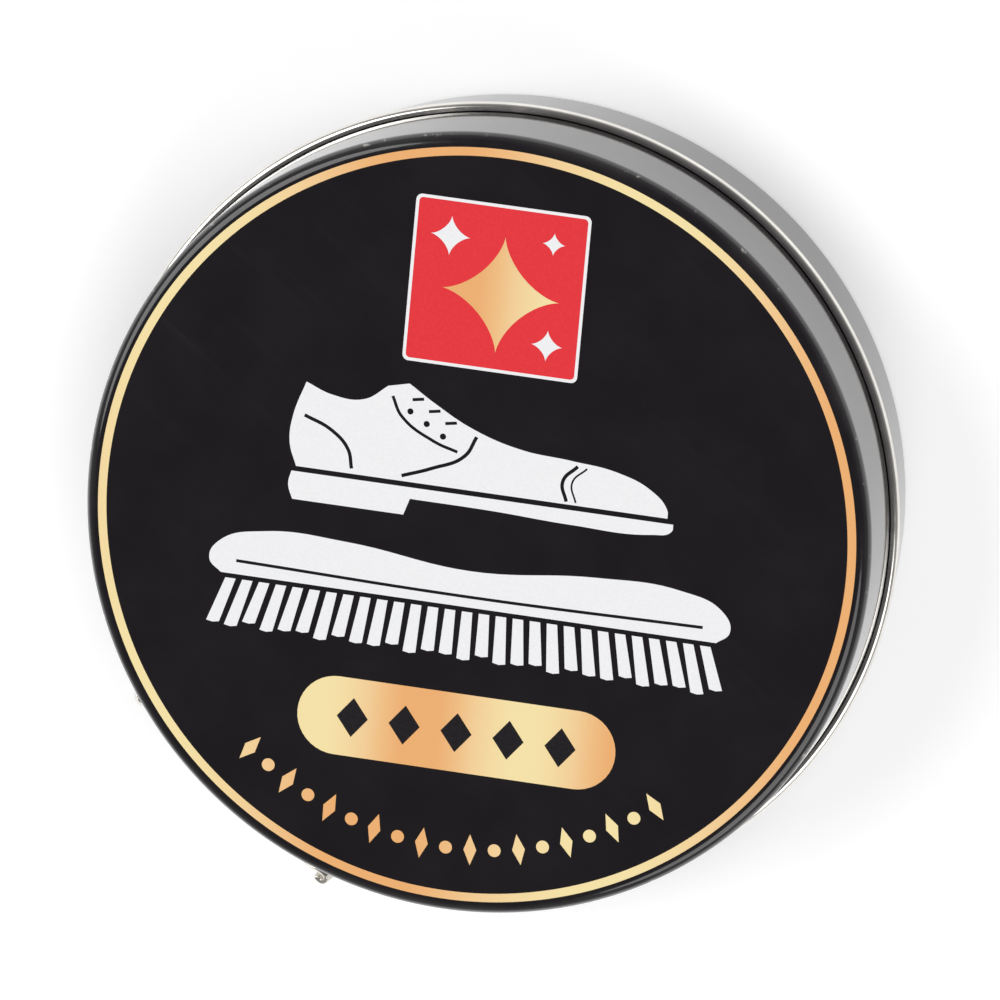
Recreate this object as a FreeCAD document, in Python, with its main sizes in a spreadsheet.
"""Shoe polish tin: a drawn can with a slip lid, a cake of wax, and a riveted key that prises the lid off.

Frame: +Z up, origin at the centre of the face that the tin rests on. The key is on the -Y side.
Lengths are in millimetres. Every size is a cell of the sheet, and the sub-parts are bound to those cells.
"""
import FreeCAD
import Part
import Sketcher

import os
from math import acos, atan2, cos, pi, sin, tan

Vector = FreeCAD.Vector
NEAR = 1e-3                      # lengths and volumes closer than this are taken as the same

# ---------------------------------------------------------------- driving sizes
SIZES = {
    # whole tin
    "tin_height": 21.9,          # resting face to the top of the lid
    "sheet": 0.25,               # tinplate thickness of can and lid
    "curl_gap": 0.1,             # between the edge of a rolled rim or hem and the wall it turns back to
    # lid, which slips over the can with a gap all round
    "lid_radius": 37.5,          # outside of the skirt
    "lid_shoulder": 1.1,         # outside radius of the bend from top panel to skirt
    "hem_size": 1.1,             # outside size of the rolled hem
    "hem_bend": 0.5,             # outside bend radius of the rolled hem
    "hem_height": 11.5,          # middle of the hem above the resting face
    # can
    "can_radius": 36.95,         # outside of the body
    "foot_bend": 1.4,            # outside radius of the bend from bottom panel to body
    "rim_height": 21.5,          # top of the can's mouth
    "rim_size": 1.1,             # outside size of the rolled rim
    "rim_bend": 0.5,             # outside bend radius of the rolled rim
    "bead_inner": 28.0,          # stiffening bead pressed up in the bottom panel: inner foot
    "bead_outer": 32.0,          # and outer foot
    "bead_rise": 0.5,            # height of the bead
    "bead_run": 0.7,             # how far each flank leans
    "bead_bend": 0.35,           # bend radius along the bead
    "bead_shift": 0.1125,        # inner outline against outer, so that the flanks are one sheet thick
    # polish
    "fill_gap": 0.05,            # between the cake and the tinplate
    "cake_edge": 16.4,           # top of the cake where it wets the wall
    "cake_top": 15.8,            # top of the cake a little way in
    "cake_middle": 15.6,         # top of the cake at the axis
    "cake_wetting": 1.6,         # width of the raised edge of the cake
    "cake_bend": 2.4,            # rounding from the raised edge to the surface
    "seat_room": 0.1,            # free depth behind the rivet's tail
    # key: across and up are measured from the pivot, out from the body's surface at the pivot
    "pivot_height": 6.5,
    "key_sheet": 0.5,
    "key_standoff": 0.1,         # back of the pan to the body
    "key_rise": 1.45,            # depth of the pan, which lifts the wings clear of the hem
    "pan_half": 2.65,            # half the inside width of the square pan that holds the rivet
    "pan_corner": 0.6,           # inside corner radius of the pan
    "pan_lip": 0.25,             # rounding of the pan's front edge
    "ear_root_low": 0.9,         # ear: the pointed plate that lifts the hem
    "ear_end_across": 9.0,
    "ear_end_up": 1.1,
    "ear_tip_across": 7.4,
    "ear_tip_up": 3.75,
    "ear_flat_across": 6.2,
    "ear_flat_up": 3.6,
    "ear_neck_across": 5.2,
    "ear_neck_up": 2.9,
    "ear_blunt": 0.25,           # rounding of the ear's corners
    "roll_radius": 0.5,          # inside radius of the roll at a wing's end
    "roll_turn": 230.0,          # degrees
    # rivet and washer: radii, and heights along the rivet's axis
    "rivet_shank": 1.0,
    "rivet_head": 2.0,
    "rivet_head_rise": 1.45,
    "head_edge": 0.1,            # rounding of the head's back edge
    "head_brim": 0.5,            # height of the head's upright side
    "brim_bend": 0.15,
    "dome_across": 1.44,         # the dome is two flats and two bends: this is where the flats meet
    "dome_up": 1.23,
    "dome_flat": 0.6,            # radius at which the upper flat turns level
    "dome_bend": 0.7,
    "rivet_tail": 1.75,
    "rivet_tail_rise": 0.5,
    "tail_bend": 0.4,            # rounding of the clinched tail's end
    "rivet_play": 0.05,
    "washer_radius": 2.4,
    "washer_sheet": 0.3,
    "washer_gap": 0.09,          # back of the curved wall to the flat washer, at the washer's middle
    "edge_break": 0.05,          # rounding of the washer's edges and of the tail's inner edge
}

# A wing is pressed from a web, which faces outward, and a flange folded forward from it for the fingers.
# Each section lies square to the key's length: its distance along, the fold's place, the widths of
# web and flange, the web's lean and the fold's turn in degrees, and the inside bend radius.
WING_TERMS = ("along", "fold_up", "fold_out", "web", "flange", "lean", "turn", "bend")
WING_SECTIONS = {
    "root": (2.9, 0.1, 1.8, 3.2, 3.0, 0.0, 8.0, 4.0),
    "fold": (5.8, 0.3, 1.8, 3.4, 2.5, 0.0, 80.0, 0.8),
    "stretch": (9.0, 0.3, 1.8, 3.4, 2.5, 0.0, 80.0, 0.8),
    "end": (12.0, 0.2, 2.5, 1.8, 1.8, 28.0, 8.0, 4.0),
}
for section, numbers in WING_SECTIONS.items():
    for term, number in zip(WING_TERMS, numbers):
        SIZES[f"{section}_{term}"] = number

doc = FreeCAD.newDocument("polish_tin")
sheet = doc.addObject("Spreadsheet::Sheet", "Sizes")
for row, (alias, number) in enumerate(SIZES.items(), start=1):
    sheet.set(f"A{row}", alias)
    sheet.set(f"B{row}", str(number))
    sheet.setAlias(f"B{row}", alias)
doc.recompute()


class Size:
    """A length that knows both its number and the sheet expression that gives it."""

    def __init__(self, number, text):
        self.number = float(number)
        self.text = text

    @staticmethod
    def of(other):
        return other if isinstance(other, Size) else Size(other, repr(float(other)))

    def _joined(self, other, sign, number):
        return Size(number, f"({self.text} {sign} {other.text})")

    def __add__(self, other):
        other = Size.of(other)
        return self._joined(other, "+", self.number + other.number)

    def __sub__(self, other):
        other = Size.of(other)
        return self._joined(other, "-", self.number - other.number)

    def __mul__(self, other):
        other = Size.of(other)
        return self._joined(other, "*", self.number * other.number)

    def __truediv__(self, other):
        other = Size.of(other)
        return self._joined(other, "/", self.number / other.number)

    def __neg__(self):
        return Size(-self.number, f"(0 - {self.text})")


def cell(alias):
    return Size(sheet.get(alias), f"Sizes.{alias}")


def cosine(angle):
    return Size(cos(angle.number * pi / 180), f"cos({angle.text} * 1deg)")


def sine(angle):
    return Size(sin(angle.number * pi / 180), f"sin({angle.text} * 1deg)")


ZERO = Size(0, "0")


# ---------------------------------------------------------------- sketch helpers
def make_body(label):
    body = doc.addObject("PartDesign::Body", label)
    body.Label = label
    return body


def plane_of(body, role):
    return next(f for f in body.Origin.OriginFeatures if f.Role == role)


def make_sketch(body, name, role, offset=None):
    """A sketch on one of the body's own origin planes, moved along the plane's normal by offset."""
    sketch = body.newObject("Sketcher::SketchObject", name)
    sketch.AttachmentSupport = [(plane_of(body, role), "")]
    sketch.MapMode = "FlatFace"
    if offset is not None:
        sketch.AttachmentOffset.Base = Vector(0, 0, offset.number)
        sketch.setExpression("AttachmentOffset.Base.z", offset.text)
    return sketch


def bind(sketch, kind, *args):
    """Adds a dimension whose last argument is a Size, and ties it to the sheet."""
    *where, size = args
    index = sketch.addConstraint(Sketcher.Constraint(kind, *where, size.number))
    sketch.setExpression(f"Constraints[{index}]", size.text)


def place_point(sketch, geometry, end, across, up):
    """Holds one point of a sketch at (across, up) from the sketch's origin."""
    for kind, size in (("DistanceX", across), ("DistanceY", up)):
        if size.number < 0:
            bind(sketch, kind, geometry, end, -1, 1, -size)
        else:
            bind(sketch, kind, -1, 1, geometry, end, size)


def outline(sketch, corners):
    """Closed outline through corners, each (across, up) or (across, up, bend radius).

    Every corner is a construction point tied to the sheet. The sides pass through the corner points,
    and a bend is an arc tangent to the two sides that meet there.
    """
    points = [Vector(c[0].number, c[1].number, 0) for c in corners]
    bends = [c[2] if len(c) > 2 else None for c in corners]
    count = len(points)
    entry, leave, arcs = [], [], []
    for i, point in enumerate(points):
        back = (points[i - 1] - point).normalize()
        ahead = (points[(i + 1) % count] - point).normalize()
        if bends[i] is None:
            entry.append(point)
            leave.append(point)
            arcs.append(None)
            continue
        half = acos(max(-1.0, min(1.0, back.dot(ahead)))) / 2
        radius = bends[i].number
        reach = radius / tan(half)
        centre = point + (back + ahead).normalize() * (radius / sin(half))
        entry.append(point + back * reach)
        leave.append(point + ahead * reach)
        start = atan2(entry[i].y - centre.y, entry[i].x - centre.x)
        stop = atan2(leave[i].y - centre.y, leave[i].x - centre.x)
        left_turn = back.cross(ahead).z < 0
        arcs.append((centre, radius, start, stop, left_turn))
    sides = []
    for i in range(count):
        line = Part.LineSegment(leave[i], entry[(i + 1) % count])
        sides.append(sketch.addGeometry(line, False))
    for i in range(count):
        corner = sketch.addGeometry(Part.Point(points[i]), True)
        place_point(sketch, corner, 1, corners[i][0], corners[i][1])
        before, after = sides[i - 1], sides[i]
        if arcs[i] is None:
            sketch.addConstraint(Sketcher.Constraint("Coincident", before, 2, corner, 1))
            sketch.addConstraint(Sketcher.Constraint("Coincident", after, 1, corner, 1))
            continue
        sketch.addConstraint(Sketcher.Constraint("PointOnObject", corner, 1, before))
        sketch.addConstraint(Sketcher.Constraint("PointOnObject", corner, 1, after))
        centre, radius, start, stop, left_turn = arcs[i]
        low, high = (start, stop) if left_turn else (stop, start)
        if high < low:
            high += 2 * pi
        circle = Part.Circle(centre, Vector(0, 0, 1), radius)
        arc = sketch.addGeometry(Part.ArcOfCircle(circle, low, high), False)
        first, last = (1, 2) if left_turn else (2, 1)
        sketch.addConstraint(Sketcher.Constraint("Tangent", before, 2, arc, first))
        sketch.addConstraint(Sketcher.Constraint("Tangent", arc, last, after, 1))
        bind(sketch, "Radius", arc, bends[i])


def circle_sketch(body, name, role, across, up, radius, offset=None):
    sketch = make_sketch(body, name, role, offset)
    centre = Vector(across.number, up.number, 0)
    ring = sketch.addGeometry(Part.Circle(centre, Vector(0, 0, 1), radius.number), False)
    place_point(sketch, ring, 3, across, up)
    bind(sketch, "Radius", ring, radius)
    return sketch


def revolve(body, name, sketch):
    """A full turn of the sketch about its own upright axis."""
    feature = body.newObject("PartDesign::Revolution", name)
    feature.Profile = sketch
    feature.ReferenceAxis = (sketch, ["V_Axis"])
    feature.Angle = 360.0
    return feature


def pad(body, name, sketch, length):
    feature = body.newObject("PartDesign::Pad", name)
    feature.Profile = sketch
    feature.setExpression("Length", length.text)
    return feature


def pocket(body, name, sketch, length, along_normal=False):
    """Cuts from the sketch. It must take material away, so the volume before and after is compared."""
    doc.recompute()
    before = body.Shape.Volume
    feature = body.newObject("PartDesign::Pocket", name)
    feature.Profile = sketch
    feature.Reversed = along_normal
    feature.setExpression("Length", length.text)
    doc.recompute()
    if body.Shape.Volume >= before - NEAR:
        raise ValueError(f"{name} cut nothing")
    return feature


def edges_where(shape, test):
    return [f"Edge{i}" for i, edge in enumerate(shape.Edges, start=1) if test(edge)]


def fillet(body, name, base, test, radius):
    doc.recompute()
    found = edges_where(base.Shape, test)
    if not found:
        raise ValueError(f"{name} found no edge")
    feature = body.newObject("PartDesign::Fillet", name)
    feature.Base = (base, found)
    feature.setExpression("Radius", radius.text)
    doc.recompute()
    return feature


def place_outward(body):
    """Stands a body that was drawn flat on the can's side, its own +Z pointing out along -Y."""
    body.Placement = FreeCAD.Placement(Vector(0, 0, 0), FreeCAD.Rotation(Vector(1, 0, 0), 90))
    body.setExpression("Placement.Base.y", "0 - Sizes.can_radius")
    body.setExpression("Placement.Base.z", "Sizes.pivot_height")


# ---------------------------------------------------------------- can
def make_can():
    """Drawn can: beaded bottom, straight body, and a rim rolled inward. The rivet's hole is at the front."""
    body = make_body("can")
    t = cell("sheet")
    wall, top = cell("can_radius"), cell("rim_height")
    bend, rise, run = cell("bead_bend"), cell("bead_rise"), cell("bead_run")
    near, far = cell("bead_inner"), cell("bead_outer")
    roll, roll_bend = cell("rim_size"), cell("rim_bend")
    curl, lean = t + cell("curl_gap"), cell("bead_shift")
    sketch = make_sketch(body, "CanProfile", "XZ_Plane")
    outline(sketch, [
        (ZERO, ZERO),
        (near, ZERO, bend),
        (near + run, rise, bend),
        (far - run, rise, bend),
        (far, ZERO, bend),
        (wall, ZERO, cell("foot_bend")),
        (wall, top, roll_bend),
        (wall - roll, top, roll_bend),
        (wall - roll, top - roll, roll_bend),
        (wall - curl, top - roll),
        (wall - curl, top - roll + t),
        (wall - roll + t, top - roll + t, roll_bend - t),
        (wall - roll + t, top - t, roll_bend - t),
        (wall - t, top - t, roll_bend - t),
        (wall - t, t, cell("foot_bend") - t),
        (far + lean, t, bend),
        (far - run + lean, rise + t, bend),
        (near + run - lean, rise + t, bend),
        (near - lean, t, bend),
        (ZERO, t),
    ])
    revolve(body, "CanShell", sketch)
    hole = circle_sketch(body, "RivetHole", "XZ_Plane", ZERO, cell("pivot_height"),
                         cell("rivet_shank") + cell("rivet_play"))
    pocket(body, "RivetHoleCut", hole, wall + t, along_normal=True)
    return body


# ---------------------------------------------------------------- lid
def make_lid():
    """Drawn slip lid: flat top, rounded shoulder, skirt, and a hem rolled outward."""
    body = make_body("lid")
    t = cell("sheet")
    skirt, top = cell("lid_radius"), cell("tin_height")
    shoulder, size, bend = cell("lid_shoulder"), cell("hem_size"), cell("hem_bend")
    foot = cell("hem_height") - size / 2
    outer, curl = skirt - t + size, skirt + cell("curl_gap")
    sketch = make_sketch(body, "LidProfile", "XZ_Plane")
    outline(sketch, [
        (ZERO, top - t),
        (skirt - t, top - t, shoulder - t),
        (skirt - t, foot, bend),
        (outer, foot, bend),
        (outer, foot + size, bend),
        (curl, foot + size),
        (curl, foot + size - t),
        (outer - t, foot + size - t, bend - t),
        (outer - t, foot + t, bend - t),
        (skirt, foot + t, bend - t),
        (skirt, top, shoulder),
        (ZERO, top),
    ])
    revolve(body, "LidShell", sketch)
    return body


# ---------------------------------------------------------------- polish
def make_polish():
    """Cake of wax polish, poured into the can: it follows the can and wets the wall a little higher."""
    body = make_body("polish")
    t, gap = cell("sheet"), cell("fill_gap")
    wall = cell("can_radius") - t - gap
    floor = t + gap
    rise, run, bend = cell("bead_rise"), cell("bead_run"), cell("bead_bend")
    near, far = cell("bead_inner") - t, cell("bead_outer") + t
    wetting = cell("cake_wetting")
    sketch = make_sketch(body, "CakeProfile", "XZ_Plane")
    outline(sketch, [
        (ZERO, floor),
        (near - gap, floor, bend),
        (near + run - gap, floor + rise, bend),
        (far - run + gap, floor + rise, bend),
        (far + gap, floor, bend),
        (wall, floor, cell("foot_bend") - t - gap),
        (wall, cell("cake_edge")),
        (wall - wetting, cell("cake_top"), cell("cake_bend")),
        (ZERO, cell("cake_middle")),
    ])
    revolve(body, "Cake", sketch)
    clear = cell("washer_radius") + gap
    behind = t + cell("washer_gap") + cell("washer_sheet") + cell("rivet_tail_rise") + cell("seat_room")
    start = cell("can_radius") - behind
    seat = circle_sketch(body, "RivetSeat", "XZ_Plane", ZERO, cell("pivot_height"), clear, start)
    pocket(body, "RivetSeatCut", seat, behind, along_normal=True)
    return body


# ---------------------------------------------------------------- rivet and washer
def make_rivet():
    """Rivet: domed head in the key's pan, shank through key, can and washer, and a clinched tail."""
    body = make_body("rivet")
    shank, play = cell("rivet_shank"), cell("rivet_play")
    head, rise, tail = cell("rivet_head"), cell("rivet_head_rise"), cell("rivet_tail")
    dome = cell("dome_bend")
    seat = cell("key_standoff") + cell("key_sheet") + play
    inside = -(cell("sheet") + cell("washer_gap") + cell("washer_sheet") + play)
    sketch = make_sketch(body, "RivetProfile", "XZ_Plane")
    outline(sketch, [
        (ZERO, inside - cell("rivet_tail_rise")),
        (tail, inside - cell("rivet_tail_rise"), cell("tail_bend")),
        (tail, inside, cell("edge_break")),
        (shank, inside),
        (shank, seat),
        (head, seat, cell("head_edge")),
        (head, seat + cell("head_brim"), cell("brim_bend")),
        (cell("dome_across"), seat + cell("dome_up"), dome),
        (cell("dome_flat"), seat + rise, dome),
        (ZERO, seat + rise),
    ])
    revolve(body, "RivetShape", sketch)
    place_outward(body)
    return body


def make_washer():
    """Flat washer that spreads the clinched tail's load over the thin wall, inside the can."""
    body = make_body("rivet_washer")
    outer_face = -(cell("sheet") + cell("washer_gap"))
    inner, broken = cell("rivet_shank") + cell("rivet_play"), cell("edge_break")
    sketch = make_sketch(body, "WasherProfile", "XZ_Plane")
    outline(sketch, [
        (inner, outer_face - cell("washer_sheet")),
        (cell("washer_radius"), outer_face - cell("washer_sheet"), broken),
        (cell("washer_radius"), outer_face, broken),
        (inner, outer_face),
    ])
    revolve(body, "WasherShape", sketch)
    place_outward(body)
    return body


# ---------------------------------------------------------------- key
def wing_sketch(body, name, section):
    """One cross-section of a wing, square to the key's length: web, fold and flange, one sheet thick."""
    along, up, out, web, flange, lean, turn, bend = (cell(f"{section}_{term}") for term in WING_TERMS)
    half = cell("key_sheet") / 2
    ahead = lean + turn
    web_run = (cosine(lean), sine(lean))
    web_side = (-sine(lean) * half, cosine(lean) * half)
    flange_run = (cosine(ahead), sine(ahead))
    flange_side = (-sine(ahead) * half, cosine(ahead) * half)
    spread = cosine(turn) + 1.0
    low = (up - web_run[0] * web, out - web_run[1] * web)
    high = (up + flange_run[0] * flange, out + flange_run[1] * flange)
    fold_side = ((web_side[0] + flange_side[0]) / spread, (web_side[1] + flange_side[1]) / spread)
    sketch = make_sketch(body, name, "YZ_Plane", along)
    outline(sketch, [
        (low[0] - web_side[0], low[1] - web_side[1]),
        (up - fold_side[0], out - fold_side[1], bend + half * 2),
        (high[0] - flange_side[0], high[1] - flange_side[1]),
        (high[0] + flange_side[0], high[1] + flange_side[1]),
        (up + fold_side[0], out + fold_side[1], bend),
        (low[0] + web_side[0], low[1] + web_side[1]),
    ])
    return sketch


def roll_axis(sketch, reach):
    """A construction line that the end roll turns about: parallel to the web, on its outer side."""
    web_line = 0
    edge = sketch.Geometry[web_line]
    run = (edge.EndPoint - edge.StartPoint).normalize()
    side = Vector(-run.y, run.x, 0)
    start = edge.StartPoint + side * reach.number
    axis = sketch.addGeometry(Part.LineSegment(start, start + run), True)
    sketch.addConstraint(Sketcher.Constraint("Parallel", web_line, axis))
    bind(sketch, "Distance", axis, 1, web_line, reach)
    bind(sketch, "Distance", axis, Size(1, "1"))


def square(sketch, half, corner):
    outline(sketch, [(half, -half, corner), (half, half, corner),
                     (-half, half, corner), (-half, -half, corner)])


def make_key():
    """Pressed wing key: a square pan riveted to the can, two wings at its front, and two ears at its back."""
    body = make_body("opening_key")
    back, t, rise = cell("key_standoff"), cell("key_sheet"), cell("key_rise")
    inner, corner, blunt = cell("pan_half"), cell("pan_corner"), cell("ear_blunt")
    outer = inner + t

    pan = make_sketch(body, "PanOutline", "XY_Plane", back)
    square(pan, outer, corner + t)
    pad(body, "PanPad", pan, t + rise)
    dish = make_sketch(body, "PanDish", "XY_Plane", back + t)
    square(dish, inner, corner)
    dished = pocket(body, "PanDishCut", dish, rise, along_normal=True)
    front = (back + t + rise).number
    reach = (inner + NEAR).number

    def on_inner_lip(edge):
        points = [v.Point for v in edge.Vertexes]
        return all(abs(q.z - front) < NEAR and max(abs(q.x), abs(q.y)) < reach for q in points)

    fillet(body, "PanLip", dished, on_inner_lip, cell("pan_lip"))
    hole = circle_sketch(body, "KeyHole", "XY_Plane", ZERO, ZERO,
                         cell("rivet_shank") + cell("rivet_play"), back)
    pocket(body, "KeyHoleCut", hole, t, along_normal=True)

    plate = make_sketch(body, "EarOutline", "XY_Plane", back)
    outline(plate, [
        (inner, cell("ear_root_low")),
        (cell("ear_end_across"), cell("ear_end_up"), blunt),
        (cell("ear_tip_across"), cell("ear_tip_up"), blunt),
        (cell("ear_flat_across"), cell("ear_flat_up"), blunt),
        (cell("ear_neck_across"), cell("ear_neck_up"), blunt),
        (inner, cell("ear_neck_up")),
    ])
    ear = pad(body, "Ear", plate, t)

    sections = [wing_sketch(body, f"Wing_{name}", name) for name in WING_SECTIONS]
    wing = body.newObject("PartDesign::AdditiveLoft", "Wing")
    wing.Profile = sections[0]
    wing.Sections = sections[1:]
    wing.Ruled = True
    doc.recompute()

    roll_start = wing_sketch(body, "RollStart", "end")
    roll_axis(roll_start, t + cell("roll_radius"))
    roll = body.newObject("PartDesign::Revolution", "WingRoll")
    roll.Profile = roll_start
    roll.ReferenceAxis = (roll_start, ["Axis0"])
    roll.setExpression("Angle", "Sizes.roll_turn")
    roll.Reversed = True
    doc.recompute()

    both = body.newObject("PartDesign::PolarPattern", "BothSides")
    both.Originals = [ear, wing, roll]
    both.Axis = (pan, ["N_Axis"])
    both.Angle = 360.0
    both.Occurrences = 2
    body.Tip = both
    doc.recompute()
    place_outward(body)
    return body


# ---------------------------------------------------------------- build and write
def check(bodies):
    for item in doc.Objects:
        if any(word in item.State for word in ("Invalid", "Error")):
            raise ValueError(f"{item.Name} failed: {item.State}")
    for body in bodies:
        shape = body.Shape
        if shape.isNull() or not shape.isValid() or len(shape.Solids) != 1:
            raise ValueError(f"{body.Label} is not one valid solid")


def main():
    bodies = [make_can(), make_lid(), make_polish(), make_rivet(), make_washer(), make_key()]
    doc.recompute()
    check(bodies)
    os.makedirs("parts", exist_ok=True)
    for body in bodies:
        body.Shape.exportStep(f"parts/{body.Label}.step")
        box = body.Shape.BoundBox
        print(f"{body.Label:14s} volume {body.Shape.Volume:9.2f} mm3, "
              f"X {box.XMin:.2f}..{box.XMax:.2f}, Y {box.YMin:.2f}..{box.YMax:.2f}, "
              f"Z {box.ZMin:.2f}..{box.ZMax:.2f}")


main()
